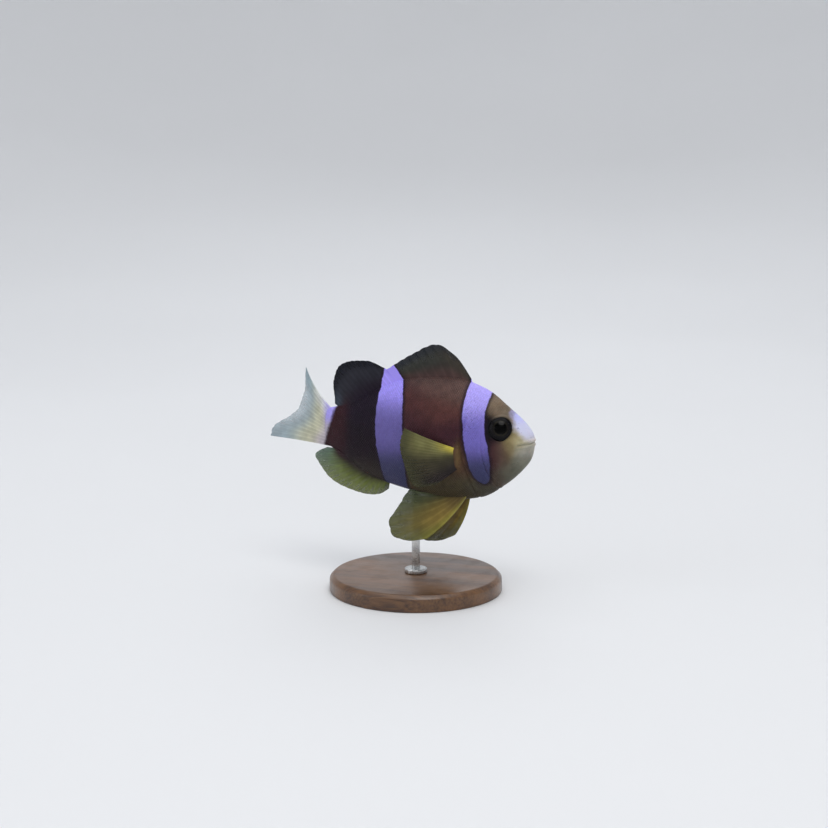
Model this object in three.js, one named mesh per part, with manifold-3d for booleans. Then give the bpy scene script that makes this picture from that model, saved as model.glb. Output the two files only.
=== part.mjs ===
// A life-size clownfish (Clark's anemonefish) on a plain display stand.
// Millimetres, +Z up. The snout points along +X, and the fish's left side faces +Y.
// The origin is the centre of the base's underside, straight below the rod.
//
// The fish is first laid out straight, in coordinates of its own: `along` runs back from the snout
// tip, `side` runs out to the left of the middle plane, and `up` runs up from the body's axis.
// `place` then bends the tail to the left, tips the nose down a little and sets it on the rod.

import * as THREE from "three";
import { mergeVertices } from "three/addons/utils/BufferGeometryUtils.js";
import Module from "manifold-3d";

const wasm = await Module();
wasm.setup();
const radians = THREE.MathUtils.degToRad;

// ---------------------------------------------------------------- driving dimensions

const BODY = 65; // snout tip to the base of the tail fin
const GAP = 0.3; // between neighbouring solids
const AXIS_HEIGHT = 47.5; // the body's axis above the floor, at the rod
const NOSE_DOWN = radians(1.2);
const BEND_START = 0.4 * BODY; // the body is straight as far back as this
const TAIL_TURN = radians(13); // heading at the tail fin's base

const FIN_EDGE = 0.5; // a fin's thickness between its rays, at the margin
const FIN_RAY = 0.22; // how much a ray adds to it
const FIN_ROOT = 1.1; // a fin's thickness where it leaves the body

const ROD_AT = 0.56 * BODY; // the rod's place behind the snout
const ROD_RADIUS = 1.25;
const ROD_SOCKET = 5; // how deep the rod goes into the belly
const BASE_RADIUS = 26;
const BASE_THICK = 5;
const BASE_SOCKET = 3.4; // how deep the rod goes into the base

const COLOUR = {
  flank: 0x4a2c22,
  face: 0xa5713c,
  bar: 0xd8d2f0,
  fin_dark: 0x2b2a2e,
  fin_yellow: 0xc9a23a,
  fin_white: 0xe9e6d2,
  eye: 0x0b0c14,
  wood: 0x4a2f1e,
  steel: 0xb9bcc0,
};

// ---------------------------------------------------------------- curves through a few knots

// A smooth curve through [x, y] knots in order of x, level at a top and never past its knots.
function through(knots) {
  const rise = knots.slice(1).map(([x, y], i) => (y - knots[i][1]) / (x - knots[i][0]));
  const slope = knots.map((_, i) => {
    if (i === 0) return rise[0];
    if (i === knots.length - 1) return rise[i - 1];
    if (rise[i - 1] * rise[i] <= 0) return 0;
    return (2 * rise[i - 1] * rise[i]) / (rise[i - 1] + rise[i]);
  });
  return (x) => {
    let i = knots.length - 2;
    while (i > 0 && x < knots[i][0]) i -= 1;
    const [x0, y0] = knots[i];
    const [x1, y1] = knots[i + 1];
    const width = x1 - x0;
    const t = THREE.MathUtils.clamp((x - x0) / width, 0, 1);
    const level = y0 * (1 + 2 * t) * (1 - t) ** 2 + y1 * t * t * (3 - 2 * t);
    return level + width * t * (1 - t) * (slope[i] * (1 - t) - slope[i + 1] * t);
  };
}

// ---------------------------------------------------------------- the body's form

// Shares of BODY: where, how high the back stands, how deep the belly hangs, the half-width.
const LINES = [
  { along: 0, back: 0, belly: 0, half: 0 },
  { along: 0.012, back: 0.043, belly: 0.077, half: 0.036 },
  { along: 0.05, back: 0.089, belly: 0.134, half: 0.063 },
  { along: 0.13, back: 0.154, belly: 0.209, half: 0.09 },
  { along: 0.24, back: 0.229, belly: 0.273, half: 0.107 },
  { along: 0.4, back: 0.271, belly: 0.296, half: 0.115 },
  { along: 0.58, back: 0.257, belly: 0.267, half: 0.1 },
  { along: 0.76, back: 0.195, belly: 0.224, half: 0.066 },
  { along: 0.92, back: 0.11, belly: 0.142, half: 0.034 },
  { along: 1, back: 0.088, belly: 0.098, half: 0.02 },
];
const TAIL_CAP = 0.03; // the flesh rounds off over this share behind the tail fin's base
const WIDEST = 0.12; // the body is widest this share of its half-depth above mid-depth
const BACK_FULLNESS = 1.85; // 2 is an ellipse, less is keeled
const BELLY_FULLNESS = 2;

// The square root makes the snout round: every line leaves it at a right angle.
const line = (key) => through(LINES.map((row) => [Math.sqrt(row.along), row[key]]));
const lines = { back: line("back"), belly: line("belly"), half: line("half") };

function outline(along) {
  const share = Math.max(along / BODY, 0);
  const past = Math.min(Math.max(share - 1, 0) / TAIL_CAP, 1);
  const cap = Math.sqrt(1 - past * past);
  const at = Math.sqrt(Math.min(share, 1));
  return {
    back: lines.back(at) * BODY * cap,
    belly: lines.belly(at) * BODY * cap,
    half: lines.half(at) * BODY * cap,
  };
}

// Where the axis lies and where it heads, seen from above.
const BEND = Math.tan(TAIL_TURN) / (3 * (BODY - BEND_START) ** 2);
function bend(along) {
  const past = Math.max(along - BEND_START, 0);
  return { offset: BEND * past ** 3, turn: Math.atan(3 * BEND * past ** 2) };
}

function place(along, side, up) {
  const { offset, turn } = bend(along);
  const x = ROD_AT - along + side * Math.sin(turn);
  const y = offset + side * Math.cos(turn);
  return new THREE.Vector3(
    x * Math.cos(NOSE_DOWN) + up * Math.sin(NOSE_DOWN),
    y,
    AXIS_HEIGHT - x * Math.sin(NOSE_DOWN) + up * Math.cos(NOSE_DOWN),
  );
}

const power = (value, exponent) => Math.sign(value) * Math.abs(value) ** exponent;

// A point of the flesh: angle 0 is the left side, a quarter turn the back.
function flesh(along, angle, grow = 0) {
  const { back, belly, half } = outline(along);
  const level = (back - belly) / 2 + (WIDEST * (back + belly)) / 2;
  const above = Math.sin(angle) > 0;
  const fullness = above ? BACK_FULLNESS : BELLY_FULLNESS;
  const reach = (above ? back - level : belly + level) + grow;
  const side = (half + grow) * power(Math.cos(angle), 2 / fullness);
  return place(along, side, level + reach * power(Math.sin(angle), 2 / fullness));
}

// ---------------------------------------------------------------- solids

function solid(geometry) {
  const bare = geometry.clone();
  bare.deleteAttribute("normal");
  bare.deleteAttribute("uv");
  const merged = mergeVertices(bare, 1e-4);
  const triVerts = new Uint32Array(merged.index.array);
  const vertProperties = merged.attributes.position.array;
  const made = new wasm.Manifold(new wasm.Mesh({ numProp: 3, vertProperties, triVerts }));
  if (made.volume() > 0) return made;
  for (let i = 0; i < triVerts.length; i += 3) {
    [triVerts[i + 1], triVerts[i + 2]] = [triVerts[i + 2], triVerts[i + 1]];
  }
  return new wasm.Manifold(new wasm.Mesh({ numProp: 3, vertProperties, triVerts }));
}

// Cuts can leave slivers, so only the main body of a solid is kept.
function mainBody(made) {
  return made.decompose().sort((a, b) => b.volume() - a.volume())[0];
}

function mould(geometry, shape) {
  const points = geometry.attributes.position;
  const at = new THREE.Vector3();
  for (let i = 0; i < points.count; i += 1) {
    at.fromBufferAttribute(points, i);
    const to = shape(at);
    points.setXYZ(i, to.x, to.y, to.z);
  }
  return geometry;
}

const RINGS = 36;
const RING_SIDES = 24;

// The whole body: a sphere whose poles become the snout and the tail's cap.
function body(grow = 0) {
  const sphere = new THREE.SphereGeometry(1, RING_SIDES, RINGS);
  return solid(
    mould(sphere, (p) => {
      const back = Math.acos(THREE.MathUtils.clamp(p.y, -1, 1)) / Math.PI;
      const along = back ** 1.7 * BODY * (1 + TAIL_CAP);
      const pole = back < 1e-6 || back > 1 - 1e-6;
      if (pole) return place(back < 0.5 ? -grow : along + grow, 0, 0);
      return flesh(along, Math.atan2(p.x, p.z), grow);
    }),
  );
}

// A flat shape in the middle plane, cut straight through from side `low` to side `high`.
function slab(corners, low, high) {
  const shape = new THREE.Shape(corners.map(([along, up]) => new THREE.Vector2(along, up)));
  const geometry = new THREE.ExtrudeGeometry(shape, { depth: high - low, bevelEnabled: false });
  return solid(mould(geometry, (p) => place(p.x, p.z + low, p.y)));
}

// ---------------------------------------------------------------- head, jaw and gill covers

const BEYOND = 40; // past every surface of the fish
const GILL_STEPS = 10;

// Both edges run from THROAT up to NAPE, shares of BODY from the axis, as [up, along] knots.
const THROAT = -0.36;
const NAPE = 0.3;
// The rear edge of the gill cover: an arc that bows back behind the cheek.
const gillEdge = through([[THROAT, 0.2], [-0.2, 0.27], [-0.02, 0.315], [0.12, 0.285], [NAPE, 0.22]]);
// The front edge of the same plate, just behind the eye.
const cheekEdge = through([[THROAT, 0.15], [-0.14, 0.205], [0.02, 0.232], [0.1, 0.228], [NAPE, 0.2]]);

function edgePoints(edge, low, high, shift) {
  return Array.from({ length: GILL_STEPS + 1 }, (_, i) => {
    const up = low + ((high - low) * i) / GILL_STEPS;
    return [edge(up) * BODY + shift, up * BODY];
  });
}

// Everything ahead of the gill edge, moved back by `shift`.
function headSpace(shift) {
  const corners = [
    [-BEYOND, NAPE * BODY],
    [-BEYOND, THROAT * BODY],
    ...edgePoints(gillEdge, THROAT, NAPE, shift),
  ];
  return slab(corners, -BEYOND, BEYOND);
}

// One gill cover's space on one side (1 is left), grown by `grow` all round.
const COVER_LOW = -0.165;
const COVER_HIGH = 0.1;
const COVER_INNER = 0.072; // the plate lies outside this share of BODY from the middle plane
function coverSpace(hand, grow) {
  const low = COVER_LOW - grow / BODY;
  const high = COVER_HIGH + grow / BODY;
  const corners = [
    ...edgePoints(cheekEdge, low, high, -grow),
    ...edgePoints(gillEdge, low, high, GAP * 4).reverse(),
  ];
  const inner = COVER_INNER * BODY - grow;
  return hand > 0 ? slab(corners, inner, BEYOND) : slab(corners, -BEYOND, -inner);
}

// The lower jaw: below the mouth's line and ahead of its corner and the jaw's hinge.
const MOUTH_CORNER = 0.06 * BODY;
const MOUTH_LOW = 0.003 * BODY; // the mouth's line starts this far below the axis
const MOUTH_DROP = 0.012 * BODY; // and falls this much to its corner
const JAW_HINGE = { along: 0.118 * BODY, down: 0.075 * BODY };
function jawSpace(grow) {
  const corners = [
    [-BEYOND, grow - MOUTH_LOW],
    [0, grow - MOUTH_LOW],
    [MOUTH_CORNER + grow, grow - MOUTH_LOW - MOUTH_DROP],
    [JAW_HINGE.along + grow, -JAW_HINGE.down],
    [JAW_HINGE.along + grow, -BEYOND],
    [-BEYOND, -BEYOND],
  ];
  return slab(corners, -BEYOND, BEYOND);
}

// ---------------------------------------------------------------- eyes

const EYE = {
  along: 0.147 * BODY,
  up: 0.056 * BODY,
  side: 0.0685 * BODY,
  radius: 0.057 * BODY,
  depth: 0.031 * BODY, // half its thickness from cornea to back
  turn: radians(17), // it looks a little ahead
  tilt: radians(17), // and a little up
};

function eye(hand, grow) {
  const sphere = new THREE.SphereGeometry(1, 16, 9);
  sphere.rotateX(Math.PI / 2);
  const at = place(EYE.along, hand * EYE.side, EYE.up);
  const wide = EYE.radius + grow;
  sphere.scale(wide, EYE.depth + grow, wide);
  sphere.rotateX(hand * EYE.tilt);
  sphere.rotateZ(-hand * EYE.turn);
  sphere.translate(at.x, at.y, at.z);
  return solid(sphere);
}

// ---------------------------------------------------------------- fins

// A fin is a plate of rays. `across` runs 0 to 1 from its first ray to its last and `out` from the
// root to the margin; `surface` gives [along, side, up] there.
function finPlate({ rays, steps, surface, root = FIN_ROOT }) {
  const plate = new THREE.BoxGeometry(1, 1, 1, rays * 2, steps, 1);
  const at = (across, out) => place(...surface(across, out));
  const tiny = 1e-3;
  return solid(
    mould(plate, (p) => {
      const across = p.x + 0.5;
      const out = p.y + 0.5;
      const centre = at(across, out);
      const alongBase = at(Math.min(across + tiny, 1), out).sub(at(Math.max(across - tiny, 0), out));
      const alongRay = at(across, Math.min(out + tiny, 1)).sub(at(across, Math.max(out - tiny, 0)));
      const normal = alongBase.cross(alongRay).normalize();
      const onRay = Math.round(across * rays * 2) % 2 === 0 ? 1 : 0;
      const thick = FIN_EDGE + (root - FIN_EDGE) * (1 - out) ** 2 + FIN_RAY * onRay * (1 - 0.5 * out);
      return centre.addScaledVector(normal, p.z * thick);
    }),
  );
}

const SUNK = 0.035 * BODY; // a fin on the back or belly starts this deep in the flesh

// A fin on the middle plane, from the share `from` of BODY to the share `to`. `edge` is 1 on the
// back and -1 on the belly, `rake` the degrees by which a ray leans back, and `reach` its length
// past the body's outline.
function middleFin({ from, to, edge, rake, reach, rays, steps = 5 }) {
  const surface = (across, out) => {
    const along = (from + (to - from) * across) * BODY;
    const { back, belly } = outline(along);
    const level = edge > 0 ? back : belly;
    const angle = radians(rake(across));
    const away = (SUNK + reach(across) * BODY) * out - SUNK;
    return [along + away * Math.sin(angle), 0, edge * (level + away * Math.cos(angle))];
  };
  return finPlate({ rays, steps, surface });
}

const spinyDorsal = () =>
  middleFin({
    from: 0.3,
    to: 0.66,
    edge: 1,
    rays: 10,
    steps: 4,
    rake: through([[0, 18], [0.3, 27], [1, 44]]),
    reach: through([[0, 0.012], [0.1, 0.1], [0.28, 0.158], [0.58, 0.122], [0.9, 0.077], [1, 0.068]]),
  });

const softDorsal = () =>
  middleFin({
    from: 0.669,
    to: 0.962,
    edge: 1,
    rays: 12,
    rake: through([[0, 44], [0.4, 46], [1, 58]]),
    reach: through([[0, 0.075], [0.14, 0.142], [0.5, 0.182], [0.7, 0.142], [0.92, 0.046], [1, 0.015]]),
  });

const analFin = () =>
  middleFin({
    from: 0.685,
    to: 0.985,
    edge: -1,
    rays: 12,
    rake: through([[0, 8], [0.3, 47], [0.6, 69], [0.8, 82], [1, 92]]),
    reach: through([[0, 0.038], [0.1, 0.072], [0.3, 0.116], [0.6, 0.166], [0.8, 0.159], [1, 0.03]]),
  });

// The tail fin: rays spread from the stalk's end, and the upper lobe swings further to the left.
const TAIL = {
  rays: 14,
  sunk: 0.05 * BODY,
  base: 0.0905 * BODY, // half the height of the rays' roots
  low: 0.0065 * BODY, // their middle lies this far below the axis
  lift: radians(21.25), // the whole fan tips up
  spread: radians(16.25), // of the outer rays from the middle one
  flare: 0.003, // outer rays curve outwards
  twist: 0.016,
  reach: through([[-1, 0.34], [-0.85, 0.343], [-0.4, 0.255], [0, 0.208], [0.5, 0.206], [1, 0.258]]),
};

const tailFin = () =>
  finPlate({
    rays: TAIL.rays,
    steps: 6,
    surface: (across, out) => {
      const ray = 2 * across - 1;
      const angle = TAIL.lift + ray * TAIL.spread;
      const away = (TAIL.reach(ray) * BODY + TAIL.sunk) * out - TAIL.sunk;
      const past = Math.max(away, 0);
      const back = away * Math.cos(angle);
      const root = TAIL.base * ray - TAIL.low;
      const up = root + away * Math.sin(angle) + TAIL.flare * ray * past * past;
      return [BODY + back, TAIL.twist * past * up, up];
    },
  });

// A paired fin fans out from a short root. `hand` is 1 on the left, `from` and `to` the degrees
// below straight back of its first and last ray, `bow` the degrees by which a ray curls back along
// its length, and `splay` how far the rays stand off.
function pairedFin({ hand, rootFrom, rootTo, from, to, bow, reach, splay, cup, rays, steps, sunk }) {
  const surface = (across, out) => {
    const angle = radians(from + (to - from) * across + bow * (0.5 - out));
    const root = rootFrom.map((value, i) => (value + (rootTo[i] - value) * across) * BODY);
    const away = (reach(across) + sunk) * BODY * out - sunk * BODY;
    const outward = radians(splay(across));
    return [
      root[0] + away * Math.cos(angle) * Math.cos(outward),
      hand * (root[1] + away * Math.sin(outward) - (cup * Math.max(away, 0) ** 2) / BODY),
      root[2] - away * Math.sin(angle) * Math.cos(outward),
    ];
  };
  return finPlate({ rays, steps, surface, root: 1 });
}

const pectoralFin = (hand) =>
  pairedFin({
    hand,
    rootFrom: [0.32, 0.092, -0.045],
    rootTo: [0.325, 0.088, -0.125],
    from: -20,
    to: 43,
    bow: 6,
    reach: through([[0, 0.28], [0.15, 0.282], [0.5, 0.255], [0.8, 0.235], [1, 0.13]]),
    splay: () => 27,
    cup: 0.25,
    rays: 10,
    steps: 5,
    sunk: 0.05,
  });

const pelvicFin = (hand, turnDown, turnOut) =>
  pairedFin({
    hand,
    rootFrom: [0.3, 0.03, -0.262],
    rootTo: [0.365, 0.022, -0.262],
    from: 58 + turnDown,
    to: 4 + turnDown,
    bow: 14,
    reach: through([[0, 0.272], [0.16, 0.336], [0.33, 0.376], [0.5, 0.356], [0.67, 0.286], [1, 0.205]]),
    splay: through([[0, 21 + turnOut], [1, 9 + turnOut]]),
    cup: 0.15,
    rays: 7,
    steps: 5,
    sunk: 0.045,
  });

// ---------------------------------------------------------------- stand

function ring(profile, sides) {
  return new THREE.LatheGeometry(
    profile.map(([radius, height]) => new THREE.Vector2(radius, height)),
    sides,
  ).rotateX(Math.PI / 2);
}

const EASED = 0.8; // the base's rounded edges
function standBase() {
  const foot = BASE_THICK - BASE_SOCKET;
  const hole = ROD_RADIUS + GAP;
  return ring(
    [
      [0, 0],
      [BASE_RADIUS - EASED, 0],
      [BASE_RADIUS, EASED],
      [BASE_RADIUS, BASE_THICK - 1.5 * EASED],
      [BASE_RADIUS - 1.5 * EASED, BASE_THICK],
      [hole, BASE_THICK],
      [hole, foot],
      [0, foot],
    ],
    40,
  );
}

const COLLAR_RADIUS = 3.4;
const COLLAR_THICK = 1.4;
function standCollar() {
  const top = BASE_THICK + COLLAR_THICK;
  const hole = ROD_RADIUS + GAP;
  return ring(
    [
      [hole, BASE_THICK],
      [COLLAR_RADIUS, BASE_THICK],
      [COLLAR_RADIUS, top - 0.4],
      [COLLAR_RADIUS - 0.4, top],
      [hole, top],
      [hole, BASE_THICK],
    ],
    20,
  );
}

const rodTop = place(ROD_AT, 0, -outline(ROD_AT).belly).z + ROD_SOCKET;
function rod(radius, low, high) {
  const cylinder = new THREE.CylinderGeometry(radius, radius, high - low, 16);
  return cylinder.rotateX(Math.PI / 2).translate(0, 0, (low + high) / 2);
}

// ---------------------------------------------------------------- the parts

const model = new THREE.Group();

function show(name, made, colour, roughness, metalness = 0) {
  let geometry = made;
  if (!made.isBufferGeometry) {
    const { vertProperties, triVerts } = made.getMesh();
    geometry = new THREE.BufferGeometry();
    geometry.setAttribute("position", new THREE.BufferAttribute(vertProperties, 3));
    geometry.setIndex(new THREE.BufferAttribute(triVerts, 1));
    geometry.computeVertexNormals();
  }
  const material = new THREE.MeshStandardMaterial({ color: colour, roughness, metalness });
  const mesh = new THREE.Mesh(geometry, material);
  mesh.name = name;
  model.add(mesh);
}

const whole = body();
const clearance = body(GAP);
const HANDS = { left: 1, right: -1 };

// Flesh: the head ahead of the gill edge, the trunk, and the stalk that carries the tail fin.
const STALK = 0.86 * BODY;
function behind(along) {
  const end = BODY + BEYOND;
  return slab([[along, -BEYOND], [end, -BEYOND], [end, BEYOND], [along, BEYOND]], -BEYOND, BEYOND);
}
const rodHole = solid(rod(ROD_RADIUS + GAP, 0, rodTop + GAP));

let head = whole.intersect(headSpace(0)).subtract(jawSpace(GAP));
const trunk = whole.subtract(headSpace(GAP)).subtract(behind(STALK - GAP)).subtract(rodHole);
const stalk = whole.intersect(behind(STALK));
const jaw = whole.intersect(jawSpace(0));

for (const [hand, side] of Object.entries(HANDS)) {
  const cover = whole.intersect(headSpace(0)).intersect(coverSpace(side, 0));
  head = head.subtract(coverSpace(side, GAP)).subtract(eye(side, GAP));
  show(`gill_cover_${hand}`, mainBody(cover), COLOUR.bar, 0.5);
  show(`eye_${hand}`, eye(side, 0), COLOUR.eye, 0.1);
}
show("head", mainBody(head), COLOUR.face, 0.5);
show("lower_jaw", mainBody(jaw), COLOUR.face, 0.5);
show("trunk", mainBody(trunk), COLOUR.flank, 0.5);
show("tail_stalk", mainBody(stalk), COLOUR.flank, 0.5);

const fins = {
  dorsal_fin_spiny: [spinyDorsal(), COLOUR.fin_dark],
  dorsal_fin_soft: [softDorsal(), COLOUR.fin_dark],
  anal_fin: [analFin(), COLOUR.fin_yellow],
  tail_fin: [tailFin(), COLOUR.fin_white],
  pectoral_fin_left: [pectoralFin(1), COLOUR.fin_yellow],
  pectoral_fin_right: [pectoralFin(-1), COLOUR.fin_yellow],
  pelvic_fin_left: [pelvicFin(1, 16, 3), COLOUR.fin_yellow],
  pelvic_fin_right: [pelvicFin(-1, 0, 0), COLOUR.fin_yellow],
};
for (const [name, [fin, colour]] of Object.entries(fins)) {
  show(name, mainBody(fin.subtract(clearance)), colour, 0.55);
}

show("stand_base", standBase(), COLOUR.wood, 0.5);
show("stand_collar", standCollar(), COLOUR.steel, 0.3, 1);
show("stand_rod", rod(ROD_RADIUS, BASE_THICK - BASE_SOCKET + GAP, rodTop), COLOUR.steel, 0.3, 1);

export default model;
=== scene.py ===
# The looks of a life-size clownfish (Clark's anemonefish) on a plain display stand.
#
# Lengths are millimetres until `place` turns them into metres. The fish is laid out straight, in
# coordinates of its own: `along` runs back from the snout tip, `side` runs out to its left and `up`
# runs up from the body's axis. `place` bends the tail and sets the fish on its rod.

import math

import bmesh
import bpy
import numpy as np
from mathutils import Matrix, Vector


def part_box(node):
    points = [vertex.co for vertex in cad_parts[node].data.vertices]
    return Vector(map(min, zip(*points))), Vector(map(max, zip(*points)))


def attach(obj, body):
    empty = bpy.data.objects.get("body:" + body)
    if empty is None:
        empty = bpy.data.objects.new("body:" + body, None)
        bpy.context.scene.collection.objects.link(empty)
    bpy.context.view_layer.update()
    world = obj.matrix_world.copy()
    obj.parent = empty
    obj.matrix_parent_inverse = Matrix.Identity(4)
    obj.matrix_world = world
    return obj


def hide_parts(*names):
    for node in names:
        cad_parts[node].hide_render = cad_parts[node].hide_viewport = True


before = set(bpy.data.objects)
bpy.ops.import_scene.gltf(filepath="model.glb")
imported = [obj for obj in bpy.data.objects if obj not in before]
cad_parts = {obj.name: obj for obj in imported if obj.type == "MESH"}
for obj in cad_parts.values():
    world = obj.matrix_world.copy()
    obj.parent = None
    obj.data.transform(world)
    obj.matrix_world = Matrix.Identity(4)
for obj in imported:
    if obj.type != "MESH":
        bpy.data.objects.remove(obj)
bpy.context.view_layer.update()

MM = 0.001

# ---------------- driving dimensions

BODY = 65.0  # snout tip to the base of the tail fin
AXIS_HEIGHT = 47.5
NOSE_DOWN = math.radians(1.2)
BEND_START = 0.4 * BODY
TAIL_TURN = math.radians(13)
ROD_AT = 0.56 * BODY

COAT = 0.24  # the skin lies this far inside the solids, and the scales fill the depth
SCALE_RISE = 0.12  # a scale's rear edge stands this far off the skin
SCALE_SINK = 0.13  # and its root lies this deep in it
SCALE_THICK = 0.09

MEMBRANE = 0.16  # a fin's thickness between its rays
FIN_ROOT = 2.2  # and where it starts, sunk in the flesh
RAY_RISE = 0.13  # what a soft ray adds to that thickness at its root
SPINE_RISE = 0.26


def through(knots):
    """A smooth curve through (x, y) knots, level at a top and never past its knots."""
    x, y = np.array(knots, float).T
    rise = np.diff(y) / np.diff(x)
    total = rise[:-1] + rise[1:]
    product = rise[:-1] * rise[1:]
    inner = np.where(product > 0, 2 * product / np.where(product > 0, total, 1), 0)
    slope = np.concatenate([rise[:1], inner, rise[-1:]])

    def curve(at):
        at = np.clip(at, x[0], x[-1])
        i = np.clip(np.searchsorted(x, at, side="right") - 1, 0, len(x) - 2)
        width = x[i + 1] - x[i]
        t = (at - x[i]) / width
        level = y[i] * (1 + 2 * t) * (1 - t) ** 2 + y[i + 1] * t * t * (3 - 2 * t)
        return level + width * t * (1 - t) * (slope[i] * (1 - t) - slope[i + 1] * t)

    return curve


def ease(value, low, high):
    """0 below `low`, 1 above `high`, smooth between them."""
    t = np.clip((value - low) / (high - low), 0, 1)
    return t * t * (3 - 2 * t)


def hill(distance, width):
    return np.exp(-((distance / width) ** 2))


def unit(vectors):
    return vectors / np.maximum(np.linalg.norm(vectors, axis=-1, keepdims=True), 1e-12)


# ---------------- the body's form

# Shares of BODY: where, how high the back stands, how deep the belly hangs, the half-width.
LINES = (
    (0, 0, 0, 0),
    (0.012, 0.043, 0.077, 0.036),
    (0.05, 0.089, 0.134, 0.063),
    (0.13, 0.154, 0.209, 0.09),
    (0.24, 0.229, 0.273, 0.107),
    (0.4, 0.271, 0.296, 0.115),
    (0.58, 0.257, 0.267, 0.1),
    (0.76, 0.195, 0.224, 0.066),
    (0.92, 0.11, 0.142, 0.034),
    (1, 0.088, 0.098, 0.02),
)
TAIL_CAP = 0.03  # the flesh rounds off over this share behind the tail fin's base
WIDEST = 0.12  # the body is widest this share of its half-depth above mid-depth
BACK_FULLNESS = 1.85  # 2 is an ellipse, less is keeled
BELLY_FULLNESS = 2.0
BACK, BELLY, HALF = (through([(math.sqrt(row[0]), row[k]) for row in LINES]) for k in (1, 2, 3))


def outline(along):
    share = np.maximum(along / BODY, 0)
    past = np.minimum(np.maximum(share - 1, 0) / TAIL_CAP, 1)
    cap = np.sqrt(1 - past * past) * BODY
    at = np.sqrt(np.minimum(share, 1))
    return BACK(at) * cap, BELLY(at) * cap, HALF(at) * cap


# How strongly the axis curves to the left behind BEND_START.
BEND = math.tan(TAIL_TURN) / (3 * (BODY - BEND_START) ** 2)


def place(along, side, up):
    """A point of the straight fish, in metres where it stands on its rod."""
    past = np.maximum(along - BEND_START, 0)
    turn = np.arctan(3 * BEND * past**2)
    x = ROD_AT - along + side * np.sin(turn)
    y = BEND * past**3 + side * np.cos(turn)
    z = AXIS_HEIGHT - x * math.sin(NOSE_DOWN) + up * math.cos(NOSE_DOWN)
    return np.stack([x * math.cos(NOSE_DOWN) + up * math.sin(NOSE_DOWN), y, z], -1) * MM


def section(along, angle):
    """The flesh, as (along, side, up): angle 0 is the left side, a quarter turn the back."""
    back, belly, half = outline(along)
    level = (back - belly) / 2 + WIDEST * (back + belly) / 2
    rise = np.sin(angle)
    run = np.cos(angle)
    power = 2 / np.where(rise > 0, BACK_FULLNESS, BELLY_FULLNESS)
    reach = np.where(rise > 0, back - level, belly + level)
    side = half * np.sign(run) * np.abs(run) ** power
    return np.stack([along, side, level + reach * np.sign(rise) * np.abs(rise) ** power], -1)


# ---------------- the head's and body's relief

# Edges seen from the side, as (up, along) knots in shares of BODY.
GILL_EDGE = through([(-0.36, 0.2), (-0.2, 0.27), (-0.02, 0.315), (0.12, 0.285), (0.3, 0.22)])
CHEEK_EDGE = through([(-0.3, 0.12), (-0.2, 0.165), (-0.13, 0.202), (-0.02, 0.226), (0.1, 0.228)])

MOUTH_CORNER = 0.06 * BODY
MOUTH_LOW = 0.003 * BODY  # the mouth's line starts this far below the axis
MOUTH_DROP = 0.012 * BODY  # and falls this much to its corner
EYE_ALONG = 0.147 * BODY
EYE_UP = 0.056 * BODY
EYE_SIDE = 0.0685 * BODY
EYE_TURN = math.radians(17)  # the eye looks this far ahead
EYE_TILT = math.radians(17)  # and this far up, as the skin about it does
EYE_RADIUS = 0.057 * BODY
EYE_DEPTH = 0.031 * BODY
EYE_OPENING = 3.22  # the radius of the opening in the skin
EYE_STANDS = 0.9  # how far out along the eye's axis that opening lies
NOSTRIL = (4.5, 4.0)  # along and up
FIN_BASE = (21.6, -5.5)  # the pectoral fin's fleshy base

# How far each form stands out of the skin or is let into it.
UPPER_LIP, LOWER_LIP, LIP_CREASE = 0.2, 0.18, 0.06
MOUTH_DEPTH = 0.34
JAW_FOLD, JAW_CREASE = 0.07, 0.12
EYE_RIM, EYE_CREASE, SOCKET_DEPTH = 0.24, 0.12, 1.5
NOSTRIL_RIM, NOSTRIL_DEPTH = 0.12, 0.4
CHEEK_RISE, CHEEK_GROOVE = 0.12, 0.22
GILL_RISE, GILL_GROOVE = 0.14, 0.55
FIN_BASE_RISE = 0.5


def eye_distance(along, up):
    """How far a point of the skin lies from the eye's axis."""
    behind = along - EYE_ALONG + EYE_STANDS * math.sin(EYE_TURN)
    above = up - EYE_UP - EYE_STANDS * math.sin(EYE_TILT)
    return np.hypot(behind / math.cos(EYE_TURN), above / math.cos(EYE_TILT))


def mouth_relief(along, up):
    line = -MOUTH_LOW - MOUTH_DROP * np.minimum(along, MOUTH_CORNER) / MOUTH_CORNER
    above = up - line
    gap = np.hypot(above, np.maximum(along - MOUTH_CORNER, 0))
    on = 1 - ease(along, MOUTH_CORNER, MOUTH_CORNER + 0.9)
    upper = UPPER_LIP * hill(above - 0.8, 0.45) - LIP_CREASE * hill(above - 1.6, 0.3)
    lower = LOWER_LIP * hill(above + 0.7, 0.4) - LIP_CREASE * hill(above + 1.45, 0.3)
    return on * (upper + lower) - MOUTH_DEPTH * hill(gap, 0.17)


def jaw_fold_relief(along, up):
    """A shallow crease that runs down behind the upper lip to the corner of the mouth."""
    above = up + MOUTH_LOW
    past = along - (5.0 - 0.42 * above - 0.1 * above * above)
    on = ease(above, -2.3, -1.2) * (1 - ease(above, 1.2, 2.6))
    return on * (JAW_FOLD * hill(past + 0.45, 0.4) - JAW_CREASE * hill(past, 0.2))


def eye_relief(along, up):
    r = eye_distance(along, up)
    rim = EYE_RIM * hill(r - EYE_OPENING - 0.28, 0.26) - EYE_CREASE * hill(r - EYE_OPENING - 1.0, 0.3)
    return rim - SOCKET_DEPTH * (1 - ease(r, EYE_OPENING - 0.55, EYE_OPENING + 0.05))


def nostril_relief(along, up):
    r = np.hypot(along - NOSTRIL[0], up - NOSTRIL[1])
    return NOSTRIL_RIM * hill(r - 0.45, 0.16) - NOSTRIL_DEPTH * hill(r, 0.24)


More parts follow.
